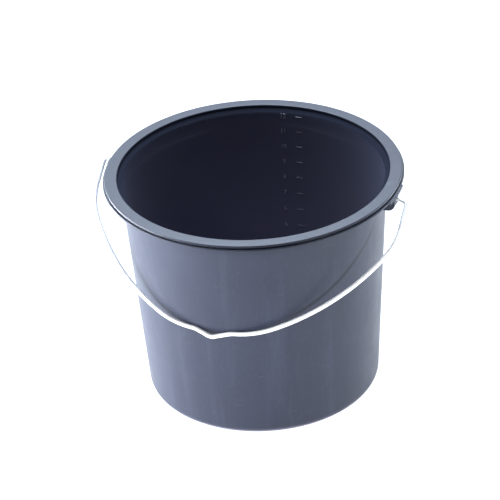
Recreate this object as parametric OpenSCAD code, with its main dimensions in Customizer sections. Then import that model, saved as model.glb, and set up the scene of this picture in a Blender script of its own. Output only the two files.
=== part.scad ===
// Twelve-litre mortar bucket: one moulded plastic tub with a grooved rim, a pocketed ear on each
// side and a raised litre scale inside, carried by one bent galvanised wire bail.
// +Z is up, the origin is the centre of the base, +X runs through the right-hand ear, and the
// bail hangs against the -Y side of the wall. Lengths are in millimetres.

/* [Tub] */
// Overall height, from the ground to the top of the rim
tub_h = 248; // [220:1:280]
// Outside radius of the wall, carried down to the ground
base_r = 121.9; // [112:0.1:124]
// How far the wall leans out for each millimetre of height
taper = 0.0672; // [0.05:0.0004:0.07]
// Thickness of the wall and floor
wall_t = 2.2; // [1.8:0.1:3]
// Outside radius of the curve between wall and base
corner_r = 11.6; // [6:0.1:16]
// Inner radius of the flat ring that the tub stands on
foot_in_r = 103; // [80:1:106]
// How far the middle of the floor is raised off the ground
floor_rise = 3; // [1:0.5:6]

/* [Rim] */
// Radius of the inner edge of the rim's top face
rim_in_r = 141.3; // [140.5:0.1:143]
// Outside radius of the rim's rounded top lip
rim_top_r = 154.2; // [153:0.1:155]
// Outside radius of the ledge under the lip
ledge_r = 156; // [155.5:0.1:158]
// Depth of the groove between the lip and the ledge
groove_d = 1.2; // [0.6:0.1:1.4]
// Drop from the top face to the ledge
rim_step = 3.7; // [3:0.1:4]
// Thickness of the ledge
ledge_t = 1.8; // [1.5:0.1:2]
// Height of the upright lip inside the mouth
lip_h = 3.4; // [2:0.1:4]

/* [Ears] */
// Width of each ear round the rim
ear_w = 13; // [13:0.5:20]
// How far the ears reach below the top of the rim
ear_drop = 22; // [20:1:26]
// Thickness of an ear's outer face
ear_face_t = 3; // [2:0.5:3.5]
// Thickness of an ear's side webs
ear_web_t = 2.4; // [1.8:0.1:2.6]
// Depth of the bail's pivot below the top of the rim
pivot_drop = 10; // [10:0.5:12]
// Clearance between the wire and its hole, on the radius
hole_gap = 0.35; // [0.3:0.05:0.5]
// Radius out to the strip that stiffens the ledge beside each ear
strip_r = 157.2; // [156.5:0.1:157.6]
// Angle that the strip runs to on each side of its ear
strip_angle = 7.5; // [5:0.5:12]

/* [Litre scale] */
// Highest litre mark
litres = 12; // [8:1:12]
// Width of a mark
mark_w = 7.5; // [5:0.5:10]
// Height of a mark
mark_h = 1; // [0.8:0.1:1.5]
// How far the marks stand off the wall
mark_relief = 0.6; // [0.4:0.1:1]
// Height of a numeral
digit_h = 4.8; // [4:0.1:5]
// Width of a numeral
digit_w = 3; // [2.4:0.1:4]
// Width of a numeral's strokes
stroke = 0.8; // [0.6:0.1:1]

/* [Bail] */
// Diameter of the wire
wire_d = 4.5; // [4:0.1:5]
// Radius of the bend at the tip of the centre kink
kink_r = 10; // [6:1:14]
// Slope of the centre kink's sides, in degrees
kink_slope = 19; // [12:1:22]
// Length of each straight side of the kink
kink_side = 14; // [8:1:18]
// Reach from the pivot to the tip of the kink
bail_reach = 175.5; // [172:0.5:180]
// Diameter of the upset head on each end of the wire
head_d = 7; // [6.4:0.1:7.2]
// Thickness of the upset head
head_t = 1.5; // [1:0.1:2]
// Clearance kept between the resting wire and the wall
rest_gap = 0.5; // [0.4:0.1:1]

/* [Hidden] */
$fn = 96;

slate = [0.32, 0.35, 0.44];
zinc = [0.80, 0.82, 0.84];

// Leaning wall: its outer and inner radius at a height, and its angle from upright.
function wall_out(z) = base_r + taper * z;
function wall_in(z) = wall_out(z) - wall_t * sqrt(1 + taper * taper);
lean = atan(taper);

// Points along an arc in the radius and height plane.
function arc(centre, r, from, to, steps = 8) =
    [for (i = [0:steps]) let (a = from + (to - from) * i / steps)
        centre + r * [cos(a), sin(a)]];

// Corner between the base and the wall: the outer and inner curves share one centre.
corner = [wall_out(corner_r) - corner_r * sqrt(1 + taper * taper), corner_r];

// Rim heights: the ledge, the underside of the top face, and where the wall steps out to the lip.
ledge_z = tub_h - rim_step;
ledge_under_z = ledge_z - ledge_t;
under_top_z = tub_h - wall_t;
lip_foot_z = tub_h - lip_h;
shoulder_z = lip_foot_z - 3.4;
lip_draft = 0.4;
shoulder_offset = 1.3;
inner_edge_r = 0.9;
outer_edge_r = 1.5;
lip_edge_t = 2.2;
ledge_edge = 0.5;
groove_r = rim_top_r - groove_d;
skirt_in_r = groove_r - wall_t;

// The tub's section in three stretches. Each has an outside line, going outwards and up, and an
// inside line, coming back.
floor_outside = concat(
    [[0, floor_rise], [foot_in_r - 2, floor_rise], [foot_in_r, 0]],
    arc(corner, corner_r, -90, -lean));
floor_inside = concat(
    arc(corner, corner_r - wall_t, -lean, -90),
    [[foot_in_r - 1.2, wall_t],
     [foot_in_r - 3.2, floor_rise + wall_t],
     [0, floor_rise + wall_t]]);

rim_outside = concat(
    [[wall_out(shoulder_z - shoulder_offset), shoulder_z - shoulder_offset],
     [rim_in_r + wall_t - lip_draft, lip_foot_z - shoulder_offset],
     [rim_in_r + wall_t, under_top_z],
     [skirt_in_r, under_top_z],
     [skirt_in_r, ledge_under_z],
     [ledge_r - ledge_edge, ledge_under_z],
     [ledge_r, ledge_under_z + ledge_edge],
     [ledge_r, ledge_z - ledge_edge],
     [ledge_r - ledge_edge, ledge_z],
     [groove_r, ledge_z],
     [groove_r, tub_h - lip_edge_t],
     [rim_top_r, tub_h - lip_edge_t]],
    arc([rim_top_r - outer_edge_r, tub_h - outer_edge_r], outer_edge_r, 0, 90, 4));
rim_inside = concat(
    arc([rim_in_r + inner_edge_r, tub_h - inner_edge_r], inner_edge_r, 90, 180, 4),
    [[rim_in_r - lip_draft, lip_foot_z],
     [wall_in(shoulder_z), shoulder_z]]);

wall_section = [
    floor_outside[len(floor_outside) - 1], rim_outside[0],
    rim_inside[len(rim_inside) - 1], floor_inside[0]];

// Everything enclosed by the outside of the tub, filled in to the middle.
module tub_outline() {
    rotate_extrude() polygon(concat(floor_outside, rim_outside, [[rim_in_r, tub_h], [0, tub_h]]));
}

gate_d = 14;
gate_depth = 0.8;

module tub_floor() {
    color(slate)
    difference() {
        rotate_extrude() polygon(concat(floor_outside, floor_inside));
        // shallow round recess left by the mould's gate, under the middle of the floor
        translate([0, 0, floor_rise - 1]) cylinder(h = 1 + gate_depth, d = gate_d);
    }
}

module tub_wall() {
    color(slate) rotate_extrude() polygon(wall_section);
}

module tub_rim() {
    color(slate) rotate_extrude() polygon(concat(rim_outside, rim_inside));
}

// Ears: a hood under the rim, open below, that the headed end of the wire sits in, and the strip
// under the ledge on each side of it.
ear_out_r = ledge_r - 0.5;
ear_bottom_z = tub_h - ear_drop;
ear_corner_r = 8;
ear_root_r = base_r;
pivot_z = tub_h - pivot_drop;
hole_r = wire_d / 2 + hole_gap;
strip_h = 1.8;
strip_cover = 1;

module ear_side_view() {
    polygon(concat(
        [[ear_root_r, under_top_z], [ear_root_r, ear_bottom_z]],
        arc([ear_out_r - ear_corner_r, ear_bottom_z + ear_corner_r], ear_corner_r, -90, 0),
        [[ear_out_r, ledge_under_z], [skirt_in_r, ledge_under_z], [skirt_in_r, under_top_z]]));
}

module ear_strip() {
    rotate([0, 0, -strip_angle]) rotate_extrude(angle = 2 * strip_angle)
        polygon([
            [skirt_in_r, ledge_under_z - strip_h], [strip_r - ledge_edge, ledge_under_z - strip_h],
            [strip_r, ledge_under_z - strip_h + ledge_edge], [strip_r, ledge_z - strip_cover],
            [ledge_r - ledge_edge, ledge_z - strip_cover], [skirt_in_r, ledge_under_z]]);
}

module ear() {
    pocket_w = ear_w - 2 * ear_web_t;
    difference() {
        union() {
            intersection() {
                rotate([90, 0, 0]) linear_extrude(height = ear_w, center = true)
                    ear_side_view();
                cylinder(h = tub_h, r = ear_out_r);
            }
            ear_strip();
        }
        tub_outline();
        // pocket for the headed end of the wire
        translate([ear_root_r, -pocket_w / 2, ear_bottom_z - 1])
            cube([ear_out_r - ear_face_t - ear_root_r, pocket_w,
                  ledge_under_z - ear_bottom_z + 1]);
        // hole that the wire turns in
        translate([ear_root_r, 0, pivot_z]) rotate([0, 90, 0])
            cylinder(h = ledge_r - ear_root_r, r = hole_r);
    }
}

module ear_right() {
    color(slate) ear();
}

module ear_left() {
    color(slate) rotate([0, 0, 180]) ear();
}

// Litre scale: each mark stands where that many litres fill the leaning wall.
function litre_z(n) =
    let (floor_z = floor_rise + wall_t,
         cube_r = pow(wall_in(floor_z), 3) + 3 * taper * n * 1e6 / PI)
    (pow(cube_r, 1 / 3) - wall_in(0)) / taper;

// The seven strokes of a numeral, as [left, bottom, width, height] in numeral sizes, and the
// strokes that each numeral uses.
long = (digit_h + stroke) / 2;
STROKES = [
    [0, digit_h - stroke, digit_w, stroke],
    [digit_w - stroke, digit_h - long, stroke, long],
    [digit_w - stroke, 0, stroke, long],
    [0, 0, digit_w, stroke],
    [0, 0, stroke, long],
    [0, digit_h - long, stroke, long],
    [0, digit_h - long, digit_w, stroke]];
DIGITS = [
    [0, 1, 2, 3, 4, 5], [1, 2], [0, 1, 6, 4, 3], [0, 1, 6, 2, 3], [5, 6, 1, 2],
    [0, 5, 6, 2, 3], [0, 5, 6, 2, 3, 4], [0, 1, 2], [0, 1, 2, 3, 4, 5, 6], [0, 1, 2, 3, 5, 6]];

mark_az = 90;
numeral_az = 97.4;
digit_gap = 1.2;

// A bar that reaches out through the wall, placed left to right as seen from inside the tub.
module bar(az, left, bottom, w, h) {
    rotate([0, 0, az]) translate([wall_in(0) / 2, -left - w, bottom])
        cube([wall_out(tub_h), w, h]);
}

module numeral(value, left, bottom) {
    for (i = DIGITS[value])
        bar(numeral_az, left + STROKES[i][0], bottom + STROKES[i][1],
            STROKES[i][2], STROKES[i][3]);
}

module litre_scale() {
    low = corner_r;
    high = shoulder_z - 0.2;
    color(slate)
    intersection() {
        rotate([0, 0, 80]) rotate_extrude(angle = 28)
            polygon([[wall_in(low), low], [wall_in(high), high],
                     [wall_in(high) - mark_relief, high], [wall_in(low) - mark_relief, low]]);
        union() {
            for (n = [1:litres]) {
                z = litre_z(n);
                bar(mark_az, -mark_w / 2, z - mark_h / 2, mark_w, mark_h);
                numeral(n % 10, digit_gap / 2, z - digit_h / 2);
                if (n >= 10)
                    numeral(floor(n / 10), -digit_gap / 2 - digit_w, z - digit_h / 2);
            }
        }
    }
}

// Bail: one half of the wire as a chain of bends and straights, from the tip of the kink to the
// headed end. A bend is [radius, angle] and turns up towards the pivot, a straight is [length].
// The leg and the shank that runs into the ear are as long as they must be to meet the pivot.
bow = [
    [kink_r, kink_slope],
    [kink_side],
    [-30, kink_slope - 5],
    [100, 23],
    [242, 32],
    [70, 30]];
shoulder = [
    [5, 70],
    [4],
    [6, 20]];
head_gap = 0.4;
head_x = ear_out_r - ear_face_t - head_gap;

// Turn and advance of one piece of a chain that starts with heading h, and where a chain has got
// to after its first n pieces, as [position, heading].
function turn_of(s) = len(s) == 2 ? sign(s[0]) * s[1] : 0;
function step_of(s, h) = len(s) == 1
    ? s[0] * [cos(h), sin(h)]
    : s[0] * [sin(h + turn_of(s)) - sin(h), cos(h) - cos(h + turn_of(s))];
function chain_at(segs, n, h = 0) = n == 0
    ? [[0, 0], h]
    : let (last = chain_at(segs, n - 1, h), s = segs[n - 1])
      [last[0] + step_of(s, last[1]), last[1] + turn_of(s)];

bow_end = chain_at(bow, len(bow))[0];
shoulder_end = chain_at(shoulder, len(shoulder), 90)[0];
leg = bail_reach - bow_end[1] - shoulder_end[1];
shank = bow_end[0] + shoulder_end[0] - head_x;
half_bail = concat(bow, [[leg]], shoulder, [[shank]]);

// Rings along the wire, as [position, heading, radius]: enough on each bend to keep it within a
// hair of true, one at each end of a straight, and the upset head at the end.
wire_sides = 16;
wire_r = wire_d / 2;
bend_sag = 0.15;
widest_step = 12;

function steps_on(s) = len(s) == 1
    ? 1 : ceil(s[1] / min(widest_step, 2 * acos(1 - bend_sag / abs(s[0]))));
function first_part(s, f) = len(s) == 1 ? [s[0] * f] : [s[0], s[1] * f];

tip = chain_at(half_bail, len(half_bail));
head_rings = [
    [tip[0], tip[1], head_d / 2],
    [tip[0] + step_of([head_t], tip[1]), tip[1], head_d / 2]];
half_rings = concat([[[0, 0], 0, wire_r]], [
    for (i = [0:len(half_bail) - 1])
        let (s = half_bail[i], from = chain_at(half_bail, i), n = steps_on(s))
        for (k = [1:n])
            let (part = first_part(s, k / n))
            [from[0] + step_of(part, from[1]), from[1] + turn_of(part), wire_r]],
    head_rings);

// The whole wire, from the left-hand head to the right-hand one.
rings = concat(
    [for (i = [len(half_rings) - 1:-1:1])
        let (ring = half_rings[i])
        [[-ring[0][0], ring[0][1]], -ring[1], ring[2]]],
    half_rings);

module wire() {
    last = len(rings) - 1;
    points = [
        for (ring = rings, k = [0:wire_sides - 1])
            let (a = 360 * k / wire_sides, out = ring[2] * cos(a), up = ring[2] * sin(a))
            [ring[0][0] - out * sin(ring[1]), ring[0][1] + out * cos(ring[1]), up]];
    sides = [
        for (i = [0:last - 1], k = [0:wire_sides - 1])
            let (a = i * wire_sides + k, b = i * wire_sides + (k + 1) % wire_sides)
            [a, b, b + wire_sides, a + wire_sides]];
    caps = [
        [for (k = [wire_sides - 1:-1:0]) k],
        [for (k = [0:wire_sides - 1]) last * wire_sides + k]];
    polyhedron(points = points, faces = concat(sides, caps), convexity = 8);
}

// Angle from straight down at which the wire beside the kink comes to rest on the wall.
touch = chain_at(bow, 2)[0] + 0.5 * step_of(bow[2], kink_slope);
touch_reach = bail_reach - touch[1];
function touch_gap(a) =
    norm([touch[0], touch_reach * sin(a)])
    - wall_out(pivot_z - touch_reach * cos(a)) - wire_r;
function rest_at(low, high, n = 24) = n == 0 ? high
    : let (mid = (low + high) / 2)
      touch_gap(mid) > rest_gap ? rest_at(low, mid, n - 1) : rest_at(mid, high, n - 1);
rest_angle = rest_at(30, 89);

module wire_bail() {
    color(zinc)
    translate([0, 0, pivot_z]) rotate([90 - rest_angle, 0, 0])
        translate([0, -bail_reach, 0]) wire();
}

tub_floor();
tub_wall();
tub_rim();
ear_left();
ear_right();
litre_scale();
wire_bail();
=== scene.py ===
"""Looks for the mortar bucket: a moulded polyethylene tub with a litre scale, and a wire bail.

Lengths are in metres in the part's own frame: the tub stands on z = 0 at the origin, its ears are
on +X and -X, and the bail hangs against the wall on the -Y side.
"""

import math

import bmesh
import bpy
from mathutils import Matrix, Vector


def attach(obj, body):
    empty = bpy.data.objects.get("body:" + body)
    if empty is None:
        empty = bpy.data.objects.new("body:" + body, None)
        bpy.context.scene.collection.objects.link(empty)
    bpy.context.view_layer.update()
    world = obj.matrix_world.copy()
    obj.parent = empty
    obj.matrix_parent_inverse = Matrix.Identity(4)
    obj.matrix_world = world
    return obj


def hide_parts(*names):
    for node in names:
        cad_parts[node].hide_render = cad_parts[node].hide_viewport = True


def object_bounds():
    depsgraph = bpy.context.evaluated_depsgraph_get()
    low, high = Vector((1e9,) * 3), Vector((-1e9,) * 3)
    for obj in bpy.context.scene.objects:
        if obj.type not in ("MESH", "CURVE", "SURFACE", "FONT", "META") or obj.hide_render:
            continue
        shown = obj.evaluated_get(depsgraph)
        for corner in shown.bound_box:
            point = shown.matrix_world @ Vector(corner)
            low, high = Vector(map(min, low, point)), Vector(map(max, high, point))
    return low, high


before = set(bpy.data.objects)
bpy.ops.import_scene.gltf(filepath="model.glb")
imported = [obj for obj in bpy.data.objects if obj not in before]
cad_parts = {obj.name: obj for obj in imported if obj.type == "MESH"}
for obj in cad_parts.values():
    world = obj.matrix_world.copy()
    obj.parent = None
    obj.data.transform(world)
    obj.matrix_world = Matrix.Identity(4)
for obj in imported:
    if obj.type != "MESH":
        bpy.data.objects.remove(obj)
cad_low, cad_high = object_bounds()


# ---------------------------------------------------------------- camera
# The view is a long lens from high in front, turned from the bail's middle towards +X.
CAM_DISTANCE = 3.12
CAM_ELEVATION = math.radians(31.27)
CAM_AROUND = math.radians(22.4)
CAM_YAW = math.radians(-0.15)
CAM_PITCH = math.radians(0.44)
CAM_ROLL = math.radians(-3.31)
SENSOR = 36.0
LENS = 213.3
CLIP_END = 100


def make_camera():
    """The camera aims at the tub's middle, then is turned by its small yaw, pitch and roll."""
    target = Vector((0, 0, cad_high.z / 2))
    back = Vector((0, -math.cos(CAM_ELEVATION), math.sin(CAM_ELEVATION)))
    right = Vector((1, 0, 0))
    up = back.cross(right)
    forward = -back
    yawed = math.cos(CAM_YAW) * right - math.sin(CAM_YAW) * forward
    ahead = math.sin(CAM_YAW) * right + math.cos(CAM_YAW) * forward
    pitched = math.cos(CAM_PITCH) * up - math.sin(CAM_PITCH) * ahead
    ahead = math.sin(CAM_PITCH) * up + math.cos(CAM_PITCH) * ahead
    cos_roll, sin_roll = math.cos(CAM_ROLL), math.sin(CAM_ROLL)
    x_axis = cos_roll * yawed + sin_roll * pitched
    y_axis = -sin_roll * yawed + cos_roll * pitched
    around = Matrix.Rotation(CAM_AROUND, 3, "Z")
    axes = [around @ v for v in (x_axis, y_axis, -ahead)]
    place = Matrix([[a[i] for a in axes] for i in range(3)]).to_4x4()
    place.translation = around @ (target + CAM_DISTANCE * back)
    data = bpy.data.cameras.new("camera")
    data.sensor_width = SENSOR
    data.lens = LENS
    data.clip_end = CLIP_END
    camera = bpy.data.objects.new("camera", data)
    camera.matrix_world = place
    bpy.context.scene.collection.objects.link(camera)
    bpy.context.scene.camera = camera


make_camera()


# ---------------------------------------------------------------- helpers
def new_object(name, bm, smooth=True):
    mesh = bpy.data.meshes.new(name)
    bmesh.ops.recalc_face_normals(bm, faces=bm.faces)
    bm.to_mesh(mesh)
    bm.free()
    for face in mesh.polygons:
        face.use_smooth = smooth
    obj = bpy.data.objects.new(name, mesh)
    bpy.context.scene.collection.objects.link(obj)
    return obj


def arc(centre, radius, start, end, steps):
    """Points of an arc in the radius and height plane, angles in degrees."""
    out = []
    for i in range(steps + 1):
        a = math.radians(start + (end - start) * i / steps)
        out.append((centre[0] + radius * math.cos(a), centre[1] + radius * math.sin(a)))
    return out


# ---------------------------------------------------------------- tub
# The wall: its outside radius at z = 0, and how much it widens with height.
TUB_H = cad_high.z
BASE_R = 0.1219
TAPER = 0.0672
LEAN = math.degrees(math.atan(TAPER))
SLANT = math.hypot(1, TAPER)
WALL_T = 0.0022

# The base corner, and the floor raised inside its standing ring. The ring slopes up to the floor
# below and above: FOOT_IN_R starts the slope below, and INNER_FOOT_R ends the one above.
CORNER_R = 0.0116
FOOT_IN_R = 0.103
FOOT_SLOPE = 0.002
FOOT_OFFSET = 0.0012
INNER_FOOT_R = FOOT_IN_R - FOOT_SLOPE - FOOT_OFFSET
FLOOR_RISE = 0.003

# The rim: a flat top, a groove round its outside, and a ledge below the groove.
RIM_IN_R = 0.1413
RIM_TOP_R = 0.1542
LEDGE_R = 0.156
GROOVE_D = 0.0012
RIM_STEP = 0.0037
LEDGE_T = 0.0018
RIM_EDGE_T = 0.0022
INNER_EDGE_R = 0.0009
OUTER_EDGE_R = 0.0015

# The lip inside the mouth, and the shoulder that joins it to the wall.
LIP_H = 0.0034
LIP_DRAFT = 0.0004
SHOULDER_H = 0.0034
SHOULDER_OFFSET = 0.0013
SHOULDER_Z = TUB_H - LIP_H - SHOULDER_H


def wall_out(z):
    """Outside radius of the wall at a height."""
    return BASE_R + TAPER * z


def wall_in(z):
    """Inside radius of the wall at a height."""
    return wall_out(z) - WALL_T * SLANT


def rounded(points, radii, steps=4):
    """A polyline with each corner replaced by an arc of its own radius, or kept where that is 0."""
    out = []
    n = len(points)
    for i, (p, r) in enumerate(zip(points, radii)):
        p = Vector(p)
        if r <= 0:
            out.append(tuple(p))
            continue
        a = Vector(points[i - 1]) - p
        b = Vector(points[(i + 1) % n]) - p
        la, lb = a.length, b.length
        a.normalize()
        b.normalize()
        half = math.acos(max(-1, min(1, a.dot(b)))) / 2
        cut = min(r / math.tan(half), 0.49 * la, 0.49 * lb)
        radius = cut * math.tan(half)
        centre = p + (a + b).normalized() * radius / math.sin(half)
        start, end = p + a * cut - centre, p + b * cut - centre
        turn = start.angle_signed(end)
        for k in range(steps + 1):
            t = -turn * k / steps
            c, s = math.cos(t), math.sin(t)
            v = Vector((start.x * c - start.y * s, start.x * s + start.y * c))
            out.append(tuple(centre + v))
    return out


def densified(points, longest=0.008, near=0.0008):
    """An open polyline with extra points: close to each end of a long stretch, and between."""
    out = [points[0]]
    for p, q in zip(points, points[1:]):
        p, q = Vector(p), Vector(q)
        length = (q - p).length
        if length > 4 * near:
            step = (q - p).normalized() * near
            inner_p, inner_q = p + step, q - step
            count = max(1, math.ceil((length - 2 * near) / longest))
            out.append(tuple(inner_p))
            for k in range(1, count):
                out.append(tuple(inner_p.lerp(inner_q, k / count)))
            out.append(tuple(inner_q))
        out.append(tuple(q))
    return out


def tub_profile():
    """Radius and height of the tub's section.

    It runs from under the middle of the floor, up the outside, over the rim and down the inside
    to the top of the floor's middle. Each corner comes with the radius that rounds it.
    """
    centre = (wall_out(CORNER_R) - CORNER_R * SLANT, CORNER_R)
    ledge_z = TUB_H - RIM_STEP
    under_ledge = ledge_z - LEDGE_T
    under_top = TUB_H - WALL_T
    lip_foot = TUB_H - LIP_H
    groove_r = RIM_TOP_R - GROOVE_D
    skirt_in_r = groove_r - WALL_T
    hidden_z = SHOULDER_Z - SHOULDER_OFFSET
    corners = [((0, FLOOR_RISE), 0), ((FOOT_IN_R - FOOT_SLOPE, FLOOR_RISE), 0.001),
               ((FOOT_IN_R, 0), 0.0006)]
    corners += [(p, 0) for p in arc(centre, CORNER_R, -90, -LEAN, 14)]
    corners += [((wall_out(hidden_z), hidden_z), 0.002),
                ((RIM_IN_R + WALL_T - LIP_DRAFT, lip_foot - SHOULDER_OFFSET), 0.001),
                ((RIM_IN_R + WALL_T, under_top), 0.0008),
                ((skirt_in_r, under_top), 0.0005),
                ((skirt_in_r, under_ledge), 0.0005),
                ((LEDGE_R, under_ledge), 0.0005),
                ((LEDGE_R, ledge_z), 0.0007),
                ((groove_r, ledge_z), 0.0004),
                ((groove_r, TUB_H - RIM_EDGE_T), 0.0002),
                ((RIM_TOP_R, TUB_H - RIM_EDGE_T), 0.0004),
                ((RIM_TOP_R, TUB_H), OUTER_EDGE_R),
                ((RIM_IN_R, TUB_H), INNER_EDGE_R),
                ((RIM_IN_R - LIP_DRAFT, lip_foot), 0.0008),
                ((wall_in(SHOULDER_Z), SHOULDER_Z), 0.002)]
    corners += [(p, 0) for p in arc(centre, CORNER_R - WALL_T, -LEAN, -90, 14)]
    corners += [((INNER_FOOT_R + FOOT_SLOPE, WALL_T), 0.0006),
                ((INNER_FOOT_R, FLOOR_RISE + WALL_T), 0.0006),
                ((0, FLOOR_RISE + WALL_T), 0)]
    points = [c[0] for c in corners]
    radii = [c[1] for c in corners]
    return densified(rounded(points, radii))


TURNS = 240
ON_AXIS = 1e-7


def lathe(name, profile):
    """A closed solid of revolution. The profile starts and ends on the axis."""
    bm = bmesh.new()
    rings = []
    for r, z in profile:
        if r < ON_AXIS:
            rings.append([bm.verts.new((0, 0, z))])
            continue
        ring = []
        for k in range(TURNS):
            a = 2 * math.pi * k / TURNS
            ring.append(bm.verts.new((r * math.cos(a), r * math.sin(a), z)))
        rings.append(ring)
    for low, high in zip(rings, rings[1:]):
        for k in range(TURNS):
            n = (k + 1) % TURNS
            corners = [low[k % len(low)], low[n % len(low)],
                       high[n % len(high)], high[k % len(high)]]
            bm.faces.new(list(dict.fromkeys(corners)))
    return new_object(name, bm)


# ---------------------------------------------------------------- ears
EAR_EDGE = 0.0005
SHARP = math.radians(35)
COPLANAR = math.radians(1)
WELD = 1e-6


def softened_copy(name, node):
    """A copy of a CAD node with its sharp moulded edges rounded over."""
    bm = bmesh.new()
    bm.from_mesh(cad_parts[node].data)
    bmesh.ops.remove_doubles(bm, verts=bm.verts, dist=WELD)
    bmesh.ops.dissolve_limit(bm, angle_limit=COPLANAR, verts=bm.verts, edges=bm.edges)
    sharp = [e for e in bm.edges if len(e.link_faces) == 2 and e.calc_face_angle(0) > SHARP]
    bmesh.ops.bevel(bm, geom=sharp, offset=EAR_EDGE, offset_type="OFFSET", segments=2,
                    profile=0.5, affect="EDGES", clamp_overlap=True)
    return new_object(name, bm, smooth=False)


# ---------------------------------------------------------------- litre scale
LITRES = 12
LITRE = 1e-3
MARK_W = 0.0075
MARK_H = 0.001
MARK_AZ = math.radians(90)
DIGIT_H = 0.0048
DIGIT_BEVEL = 0.00015
NUMERAL_AZ = math.radians(97.4)
FONT_CAP = 0.7  # height of a digit for a text size of 1
RELIEF = 0.0006
SUNK = 0.0003


def litre_z(n):
    """Height to which n litres fill the tub. The inside is a cone, so this solves for a radius."""
    floor_z = FLOOR_RISE + WALL_T
    cubed = wall_in(floor_z) ** 3 + 3 * TAPER * n * LITRE / math.pi
    return (cubed ** (1 / 3) - wall_in(0)) / TAPER


def on_wall(azimuth, right, z, proud):
    """A point of the inside wall: how far to the right of an azimuth, as seen from inside the
    tub, its height, and how far it stands proud of the wall."""
    r = wall_in(z) - proud
    a = azimuth - right / wall_in(z)
    return (r * math.cos(a), r * math.sin(a), z)


def add_mark(bm, z):
    """One raised bar, crowned towards its middle, with its back sunk in the wall."""
    across, up = 10, 4
    front, back = [], []
    for j in range(up + 1):
        for i in range(across + 1):
            u, v = 2 * i / across - 1, 2 * j / up - 1
            edge = (1 - u ** 8) * (1 - v ** 4)
            place = (u * MARK_W / 2, z + v * MARK_H / 2)
            front.append(bm.verts.new(on_wall(MARK_AZ, *place, RELIEF * edge ** 0.5 - SUNK / 3)))
            back.append(bm.verts.new(on_wall(MARK_AZ, *place, -SUNK)))
    row = across + 1
    for j in range(up):
        for i in range(across):
            quad = [j * row + i, j * row + i + 1, (j + 1) * row + i + 1, (j + 1) * row + i]
            bm.faces.new([front[k] for k in quad])
            bm.faces.new([back[k] for k in reversed(quad)])
    border = (list(range(across)) + [j * row + across for j in range(up)]
              + [up * row + i for i in range(across, 0, -1)] + [j * row for j in range(up, 0, -1)])
    for a, b in zip(border, border[1:] + border[:1]):
        bm.faces.new([front[a], front[b], back[b], back[a]])


def add_numeral(bm, value, z):
    """A raised number centred on a height, made flat and then bent onto the wall."""
    curve = bpy.data.curves.new("numeral", "FONT")
    curve.body = str(value)
    curve.size = DIGIT_H / FONT_CAP
    curve.align_x = "CENTER"
    curve.extrude = RELIEF / 2
    curve.bevel_depth = DIGIT_BEVEL
    curve.bevel_resolution = 1
    curve.resolution_u = 3
    text = bpy.data.objects.new("numeral", curve)
    bpy.context.scene.collection.objects.link(text)
    bpy.context.view_layer.update()
    mesh = bpy.data.meshes.new_from_object(
        text.evaluated_get(bpy.context.evaluated_depsgraph_get()))
    start = len(bm.verts)
    bm.from_mesh(mesh)
    bm.verts.ensure_lookup_table()
    for vert in bm.verts[start:]:
        x, y, depth = vert.co
        height = z - DIGIT_H / 2 + y
        vert.co = on_wall(NUMERAL_AZ, x, height, depth + RELIEF / 2 - SUNK / 2)
    bpy.data.objects.remove(text)
    bpy.data.curves.remove(curve)
    bpy.data.meshes.remove(mesh)


def make_scale():
    bm = bmesh.new()
    for n in range(1, LITRES + 1):
        add_mark(bm, litre_z(n))
        add_numeral(bm, n, litre_z(n))
    bmesh.ops.remove_doubles(bm, verts=bm.verts, dist=WELD)
    return new_object("litre_scale_marks", bm, smooth=False)


# ---------------------------------------------------------------- bail
# The bail turns about a line along X at PIVOT_Z, and its kink is BAIL_REACH from that line.
WIRE_R = 0.00225
BAIL_REACH = 0.1755
REST_GAP = 0.0005
PIVOT_DROP = 0.010
PIVOT_Z = TUB_H - PIVOT_DROP

# The upset heads, each just behind an ear's outer face.
EAR_INSET = 0.0005
EAR_FACE_T = 0.003
HEAD_GAP = 0.0004
HEAD_X = LEDGE_R - EAR_INSET - EAR_FACE_T - HEAD_GAP
HEAD_R = 0.0035
HEAD_T = 0.0015
HEAD_ROUND = 0.0003

# Pieces of one half of the wire, from the kink outwards: (length,) for a straight and
# (radius, angle) for an arc, which bends back where its radius is negative. The bow goes from the
# kink to the leg, a straight as long as the reach needs, and the shoulder from there to the ear.
KINK_SLOPE = 19
BOW = [(0.010, KINK_SLOPE), (0.014,), (-0.030, KINK_SLOPE - 5), (0.100, 23), (0.242, 32),
       (0.070, 30)]
SHOULDER = [(0.005, 70), (0.004,), (0.006, 20)]

HALVINGS = 24

# The mesh of the wire: sides round it, and the longest steps along it.
WIRE_SIDES = 28
STRAIGHT_STEP = 0.003
ARC_STEP = 0.004
ARC_STEP_DEGREES = 7


def advance(place, piece, share=1.0):
    """Where a chain has got to after a share of one more piece: (x, y, heading in degrees)."""
    x, y, heading = place
    h = math.radians(heading)
    if len(piece) == 1:
        return x + piece[0] * share * math.cos(h), y + piece[0] * share * math.sin(h), heading
    radius, angle = piece
    turn = math.copysign(angle * share, radius)
    e = h + math.radians(turn)
    return (x + radius * (math.sin(e) - math.sin(h)), y + radius * (math.cos(h) - math.cos(e)),
            heading + turn)


def chain_end(chain, heading=0.0):
    """Where a whole chain of pieces ends when it starts at the origin with a heading."""
    place = (0.0, 0.0, heading)
    for piece in chain:
        place = advance(place, piece)
    return place


def rest_angle():
    """Angle from straight down at which the wire beside the kink meets the wall, by halving."""
    place = chain_end(BOW[:2])
    dx, dy, _ = advance((0, 0, KINK_SLOPE), BOW[2])
    x, reach = place[0] + dx / 2, BAIL_REACH - place[1] - dy / 2
    low, high = 30.0, 89.0
    for _ in range(HALVINGS):
        middle = (low + high) / 2
        a = math.radians(middle)
        gap = (math.hypot(x, reach * math.sin(a))
               - wall_out(PIVOT_Z - reach * math.cos(a)) - WIRE_R)
        if gap > REST_GAP:
            high = middle
        else:
            low = middle
    return high


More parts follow.
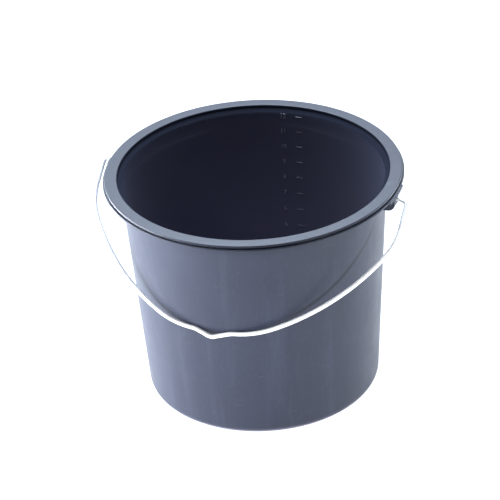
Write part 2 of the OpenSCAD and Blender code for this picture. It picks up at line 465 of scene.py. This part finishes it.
def head_rings(place):
    """The upset head at the end of the wire, with its edges rounded."""
    shape = [(0, HEAD_R - HEAD_ROUND), (HEAD_ROUND, HEAD_R),
             (HEAD_T - HEAD_ROUND, HEAD_R), (HEAD_T, HEAD_R - HEAD_ROUND)]
    return [advance(place, (along,)) + (radius,) for along, radius in shape]


def wire_rings():
    """Rings along the whole wire: (x, y, heading, radius), from the left-hand head to the right."""
    bow_end, shoulder_end = chain_end(BOW), chain_end(SHOULDER, 90.0)
    leg = BAIL_REACH - bow_end[1] - shoulder_end[1]
    shank = bow_end[0] + shoulder_end[0] - HEAD_X
    places = [(0.0, 0.0, 0.0)]
    for piece in BOW + [(leg,)] + SHOULDER + [(shank,)]:
        if len(piece) == 1:
            steps = max(1, math.ceil(piece[0] / STRAIGHT_STEP))
        else:
            arc_length = abs(piece[0]) * math.radians(piece[1])
            steps = max(math.ceil(piece[1] / ARC_STEP_DEGREES), math.ceil(arc_length / ARC_STEP))
        start = places[-1]
        places += [advance(start, piece, k / steps) for k in range(1, steps + 1)]
    half = [place + (WIRE_R,) for place in places] + head_rings(places[-1])
    return [(-x, y, -h, r) for x, y, h, r in reversed(half[1:])] + half


def make_wire():
    """The wire as one tube, laid out flat and then swung to rest, with a map of length along it."""
    rings = wire_rings()
    lift = math.radians(90 - rest_angle())
    place = (Matrix.Translation((0, 0, PIVOT_Z)) @ Matrix.Rotation(lift, 4, "X")
             @ Matrix.Translation((0, -BAIL_REACH, 0)))
    bm = bmesh.new()
    uv = bm.loops.layers.uv.new("along_wire")
    loops, lengths = [], []
    travelled, last = 0.0, None
    for x, y, heading, radius in rings:
        h = math.radians(heading)
        if last is not None:
            travelled += math.hypot(x - last[0], y - last[1])
        last = (x, y)
        lengths.append(travelled)
        ring = []
        for k in range(WIRE_SIDES):
            a = 2 * math.pi * k / WIRE_SIDES
            out, up = radius * math.cos(a), radius * math.sin(a)
            point = Vector((x - out * math.sin(h), y + out * math.cos(h), up))
            ring.append(bm.verts.new(place @ point))
        loops.append(ring)
    for i in range(len(loops) - 1):
        for k in range(WIRE_SIDES):
            n = (k + 1) % WIRE_SIDES
            face = bm.faces.new([loops[i][k], loops[i][n], loops[i + 1][n], loops[i + 1][k]])
            around = [k, k + 1, k + 1, k]
            along = [lengths[i], lengths[i], lengths[i + 1], lengths[i + 1]]
            for loop, a, s in zip(face.loops, around, along):
                loop[uv].uv = (s, a / WIRE_SIDES)
    bm.faces.new(list(reversed(loops[0])))
    bm.faces.new(loops[-1])
    return new_object("bail_wire", bm)


# ---------------------------------------------------------------- materials
class Nodes:
    """A small helper that adds and links shader nodes."""

    def __init__(self, name):
        self.material = bpy.data.materials.new(name)
        self.material.use_nodes = True
        self.tree = self.material.node_tree
        self.shader = self.tree.nodes["Principled BSDF"]

    def add(self, kind, inputs=None, **settings):
        node = self.tree.nodes.new(kind)
        for key, value in settings.items():
            setattr(node, key, value)
        for key, value in (inputs or {}).items():
            self.feed(node.inputs[key], value)
        return node

    def feed(self, socket, value):
        """Links an input to another node's output, or sets it to a plain value."""
        if isinstance(value, bpy.types.NodeSocket):
            self.tree.links.new(value, socket)
        else:
            socket.default_value = value

    def link(self, source, socket):
        self.tree.links.new(source, self.shader.inputs[socket])

    def position(self, scale=(1, 1, 1)):
        where = self.add("ShaderNodeTexCoord").outputs["Object"]
        return self.add("ShaderNodeMapping", {"Vector": where, "Scale": scale}).outputs["Vector"]

    def noise(self, vector, scale, detail=4.0, roughness=0.55):
        return self.add("ShaderNodeTexNoise", {
            "Vector": vector, "Scale": scale, "Detail": detail, "Roughness": roughness,
        }).outputs["Fac"]

    def spread(self, value, low, high, to_low=0.0, to_high=1.0):
        return self.add("ShaderNodeMapRange", {
            "Value": value, "From Min": low, "From Max": high, "To Min": to_low, "To Max": to_high,
        }).outputs["Result"]

    def mixed(self, factor, first, second):
        """A blend of two colours, by the colour sockets of the mix node."""
        inputs = {0: factor, 6: first, 7: second}
        return self.add("ShaderNodeMix", inputs, data_type="RGBA").outputs[2]

    def maths(self, operation, first, second):
        inputs = {0: first, 1: second}
        return self.add("ShaderNodeMath", inputs, operation=operation).outputs[0]


# The outside is one plastic with lighter scuffs and darker nicks. The inside is painted shade:
# darkest on the lip and palest by the floor, so that it comes out evenly dark inside the tub.
PLASTIC = (0.0205, 0.0245, 0.044, 1)
PLASTIC_DARK = (0.0175, 0.0205, 0.037, 1)
PLASTIC_SCUFF = (0.11, 0.135, 0.20, 1)
PLASTIC_NICK = (0.018, 0.022, 0.045, 1)
# Painted shade for the inside faces: on the lip, near the top, and deep down by the floor.
LIP_PAINTED_SHADE = (0.018, 0.020, 0.031, 1)
INSIDE_TOP_PAINTED_SHADE = (0.076, 0.080, 0.120, 1)
INSIDE_DEEP_PAINTED_SHADE = (0.14, 0.135, 0.185, 1)
MARKS = (0.30, 0.31, 0.35, 1)
MARKS_DARK = (0.18, 0.19, 0.22, 1)
IOR = 1.51
OUTSIDE_SHEEN = 0.35
INSIDE_SHEEN = 0.0

# The inside, where shade is painted, starts this far outside the lip's face, changes tone over this
# height at the shoulder, and fades out between these depths below the top of the rim.
LIP_MARGIN = 0.0015
SHOULDER_BLEND = 0.001
TOP_FADE = (0.0022, 0.0008)


def inside_mask(n):
    """One on the tub's inside faces, where shade is painted, zero outside, from where a point lies.
    """
    place = n.add("ShaderNodeSeparateXYZ", {"Vector": n.position()}).outputs
    z = place["Z"]
    flat = n.add("ShaderNodeCombineXYZ", {"X": place["X"], "Y": place["Y"]}).outputs["Vector"]
    radius = n.add("ShaderNodeVectorMath", {0: flat}, operation="LENGTH").outputs["Value"]
    wall = n.maths("ADD", n.maths("MULTIPLY", z, TAPER), BASE_R - WALL_T / 2)
    step = RIM_IN_R + LIP_MARGIN - wall_out(SHOULDER_Z)
    lip = n.spread(z, SHOULDER_Z - SHOULDER_BLEND, SHOULDER_Z, 0.0, step + WALL_T / 2)
    within = n.maths("LESS_THAN", radius, n.maths("ADD", wall, lip))
    floor = n.spread(radius, INNER_FOOT_R, FOOT_IN_R, FLOOR_RISE + WALL_T / 2, WALL_T / 2)
    above = n.maths("GREATER_THAN", z, floor)
    below = n.spread(z, TUB_H - TOP_FADE[0], TUB_H - TOP_FADE[1], 1.0, 0.0)
    return n.maths("MULTIPLY", n.maths("MULTIPLY", within, above), below)


def moulded_plastic(name, tone=PLASTIC, dark_tone=PLASTIC_DARK, shaded_inside=True):
    """Slate-blue polyethylene: faint upright flow marks, cloudy tone, fine scuffs, satin skin."""
    n = Nodes(name)
    cloud = n.noise(n.position(), 9.0, 3.0)
    flow = n.noise(n.position((55, 55, 2.2)), 1.0, 5.0, 0.6)
    colour = n.mixed(n.spread(cloud, 0.3, 0.7), dark_tone, tone)
    colour = n.mixed(n.spread(flow, 0.55, 0.8, 0.0, 0.12), colour, PLASTIC_SCUFF)
    scratch = n.noise(n.position((14, 14, 160)), 2.2, 6.0, 0.7)
    scratch_mask = n.spread(scratch, 0.64, 0.72, 0.0, 0.3)
    colour = n.mixed(scratch_mask, colour, PLASTIC_SCUFF)
    grain = n.noise(n.position((1, 1, 0.4)), 420.0, 5.0, 0.7)
    colour = n.mixed(n.spread(grain, 0.52, 0.72, 0.0, 0.07), colour, PLASTIC_SCUFF)
    colour = n.mixed(n.spread(grain, 0.28, 0.46, 0.22, 0.0), colour, PLASTIC_NICK)
    rough = n.spread(n.noise(n.position(), 30.0, 4.0), 0.3, 0.7, 0.36, 0.46)
    rough = n.maths("ADD", rough, n.spread(flow, 0.4, 0.7, -0.02, 0.04))
    if shaded_inside:
        # Painted shade inside the tub: darker near the top and on the lip, paler deeper down,
        # mottled by noise.
        inside = inside_mask(n)
        z = n.add("ShaderNodeSeparateXYZ", {"Vector": n.position()}).outputs["Z"]
        shade_noise = n.noise(n.position((6, 6, 18)), 3.0, 5.0, 0.6)
        depth = n.maths("ADD", n.spread(z, 0.1, 0.24, 0.9, 0.0), n.maths("MULTIPLY", shade_noise, 0.1))
        painted_inside_shade = n.mixed(depth, INSIDE_TOP_PAINTED_SHADE, INSIDE_DEEP_PAINTED_SHADE)
        lip = n.spread(z, SHOULDER_Z - SHOULDER_BLEND, SHOULDER_Z)
        colour = n.mixed(inside, colour, n.mixed(lip, painted_inside_shade, LIP_PAINTED_SHADE))
        rough = n.maths("ADD", rough, n.maths("MULTIPLY", inside, 0.2))
        n.link(n.spread(inside, 0.0, 1.0, OUTSIDE_SHEEN, INSIDE_SHEEN), "Specular IOR Level")
    n.link(colour, "Base Color")
    n.link(rough, "Roughness")
    skin = n.noise(n.position(), 900.0, 2.0)
    ripple = n.noise(n.position((22, 22, 3)), 1.0, 2.0)
    height = n.maths("ADD", n.maths("MULTIPLY", skin, 0.04), n.maths("MULTIPLY", ripple, 0.5))
    bump = n.add("ShaderNodeBump", {"Height": height, "Strength": 0.35, "Distance": 0.0006})
    n.link(bump.outputs["Normal"], "Normal")
    n.shader.inputs["IOR"].default_value = IOR
    return n.material


def zinc_wire():
    """Bright galvanised wire: drawn streaks along it, and cloudy zinc."""
    n = Nodes("galvanised_wire")
    uv = n.add("ShaderNodeUVMap", uv_map="along_wire").outputs["UV"]
    along = n.add("ShaderNodeMapping", {"Vector": uv, "Scale": (60, 14, 1)}).outputs["Vector"]
    streak = n.noise(along, 1.0, 5.0, 0.65)
    cloud = n.noise(n.position(), 180.0, 3.0)
    colour = n.mixed(n.spread(streak, 0.35, 0.65), (0.84, 0.85, 0.86, 1), (0.97, 0.97, 0.97, 1))
    colour = n.mixed(n.spread(cloud, 0.5, 0.75, 0.0, 0.3), colour, (0.72, 0.73, 0.75, 1))
    n.link(colour, "Base Color")
    n.link(n.spread(streak, 0.3, 0.7, 0.34, 0.48), "Roughness")
    bump = n.add("ShaderNodeBump", {"Height": streak, "Strength": 0.3, "Distance": 0.0001})
    n.link(bump.outputs["Normal"], "Normal")
    n.shader.inputs["Metallic"].default_value = 0.6
    return n.material


def pale_floor():
    """A matt floor that gives off enough light of its own to look white."""
    n = Nodes("pale_floor")
    n.shader.inputs["Base Color"].default_value = (0.3, 0.3, 0.3, 1)
    n.shader.inputs["Roughness"].default_value = 0.9
    n.shader.inputs["Specular IOR Level"].default_value = 0.1
    n.shader.inputs["Emission Color"].default_value = (0.92, 0.96, 1, 1)
    n.shader.inputs["Emission Strength"].default_value = 0.98
    return n.material


# ---------------------------------------------------------------- assembly
plastic = moulded_plastic("moulded_polyethylene")
marks = moulded_plastic("worn_raised_marks", MARKS, MARKS_DARK, shaded_inside=False)
metal = zinc_wire()


def place_piece(obj, body, nodes, material):
    """Makes a piece ride on a body and stand for its CAD nodes, in one material."""
    obj.data.materials.clear()
    obj.data.materials.append(material)
    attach(obj, body)
    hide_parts(*nodes)


tub = lathe("tub_moulding", tub_profile())
place_piece(tub, "tub", ["tub_floor", "tub_wall", "tub_rim"], plastic)
for side in ("ear_left", "ear_right"):
    place_piece(softened_copy(side + "_hood", side), "tub", [side], plastic)
place_piece(make_scale(), "tub", ["litre_scale"], marks)
place_piece(make_wire(), "bail", ["wire_bail"], metal)


# ---------------------------------------------------------------- floor and light
FLOOR_SIZE = 8.0
FLOOR_Z = -0.0003
LIGHT_DISTANCE = 2.2
COOL = (0.9, 0.95, 1.0)
BLUE = (0.75, 0.86, 1.0)
SKY = (0.70, 0.84, 1.0)

# The key lights are small spots, each cut off just under the top of the rim.
KEY_DISTANCE = 2.6
KEY_ELEVATION = math.radians(7)
KEY_RADIUS = 0.012
KEY_CONE = math.radians(50)
KEY_EDGE = 0.02
KEY_CUT_Z = TUB_H - 0.001

# How bright the surroundings are in front of the tub and behind it. They change between these two
# cosines of the angle from straight behind.
WORLD_FRONT = 0.04
WORLD_BACK = 1.6
WORLD_CHANGE = (-0.4, 0.8)


def make_floor():
    bm = bmesh.new()
    bmesh.ops.create_grid(bm, x_segments=1, y_segments=1, size=FLOOR_SIZE / 2)
    bmesh.ops.translate(bm, vec=(0, 0, FLOOR_Z), verts=bm.verts)
    floor = new_object("floor", bm, smooth=False)
    floor.data.materials.append(pale_floor())


def area_light(name, azimuth, elevation, size, power, colour=(1, 1, 1)):
    """A soft light, (width, height) in size, aimed at the tub's middle.

    Azimuth 0 is the camera's side, and a light with a positive one is on the camera's right.
    """
    a, e = CAM_AROUND + math.radians(azimuth), math.radians(elevation)
    aim = Vector((0, 0, TUB_H * 0.5))
    back = Vector((math.sin(a) * math.cos(e), -math.cos(a) * math.cos(e), math.sin(e)))
    data = bpy.data.lights.new(name, "AREA")
    data.shape = "RECTANGLE"
    data.size, data.size_y = size
    data.energy = power
    data.color = colour
    light = bpy.data.objects.new(name, data)
    light.location = aim + back * LIGHT_DISTANCE
    light.rotation_mode = "QUATERNION"
    light.rotation_quaternion = (-back).to_track_quat("-Z", "Y")
    bpy.context.scene.collection.objects.link(light)


def snooted_key(name, azimuth, power):
    """A small light in front, aimed so low that the top edge of its cone meets the near side of
    the rim at KEY_CUT_Z. Next to none of it gets inside the tub."""
    a = CAM_AROUND + math.radians(azimuth)
    away = Vector((math.sin(a), -math.cos(a), 0))
    place = away * KEY_DISTANCE * math.cos(KEY_ELEVATION)
    place.z = TUB_H / 2 + KEY_DISTANCE * math.sin(KEY_ELEVATION)
    near_rim = away * LEDGE_R + Vector((0, 0, KEY_CUT_Z))
    drop = math.atan2(place.z - near_rim.z, (place - near_rim).xy.length)
    tilt = drop + KEY_CONE / 2
    ahead = -away * math.cos(tilt) - Vector((0, 0, math.sin(tilt)))
    data = bpy.data.lights.new(name, "SPOT")
    data.spot_size = KEY_CONE
    data.spot_blend = KEY_EDGE
    data.shadow_soft_size = KEY_RADIUS
    data.energy = power
    light = bpy.data.objects.new(name, data)
    light.location = place
    light.rotation_mode = "QUATERNION"
    light.rotation_quaternion = ahead.to_track_quat("-Z", "Y")
    bpy.context.scene.collection.objects.link(light)


def make_world():
    """White to the camera. As light it is bright behind the tub and dim in front."""
    world = bpy.data.worlds.new("studio")
    world.use_nodes = True
    tree = world.node_tree
    tree.nodes.clear()
    out = tree.nodes.new("ShaderNodeOutputWorld")
    seen, lit = tree.nodes.new("ShaderNodeBackground"), tree.nodes.new("ShaderNodeBackground")
    seen.inputs["Color"].default_value = (1, 1, 1, 1)
    where = tree.nodes.new("ShaderNodeTexCoord")
    dot = tree.nodes.new("ShaderNodeVectorMath")
    dot.operation = "DOT_PRODUCT"
    dot.inputs[1].default_value = (-math.sin(CAM_AROUND), math.cos(CAM_AROUND), 0)
    tree.links.new(where.outputs["Generated"], dot.inputs[0])
    ramp = tree.nodes.new("ShaderNodeMapRange")
    ramp.inputs["From Min"].default_value = WORLD_CHANGE[0]
    ramp.inputs["From Max"].default_value = WORLD_CHANGE[1]
    ramp.inputs["To Min"].default_value = WORLD_FRONT
    ramp.inputs["To Max"].default_value = WORLD_BACK
    tree.links.new(dot.outputs["Value"], ramp.inputs["Value"])
    tree.links.new(ramp.outputs["Result"], lit.inputs["Strength"])
    lit.inputs["Color"].default_value = COOL + (1,)
    path = tree.nodes.new("ShaderNodeLightPath")
    mix = tree.nodes.new("ShaderNodeMixShader")
    tree.links.new(path.outputs["Is Camera Ray"], mix.inputs[0])
    tree.links.new(lit.outputs[0], mix.inputs[1])
    tree.links.new(seen.outputs[0], mix.inputs[2])
    tree.links.new(mix.outputs[0], out.inputs["Surface"])
    bpy.context.scene.world = world


make_floor()
make_world()
area_light("overhead", -165, 62, (1.6, 1.6), 122, SKY)
snooted_key("left_key", -44, 270)
snooted_key("right_key", 44, 255)
area_light("lip_glint", -38, 42, (0.5, 0.5), 3)
area_light("left_fill", -80, -0.4, (0.8, 0.2), 90, COOL)
area_light("left_edge", -112, -0.4, (1.0, 0.2), 190, COOL)
area_light("right_edge", 114, -0.4, (1.0, 0.2), 50, BLUE)
bpy.context.scene.view_settings.view_transform = "Standard"
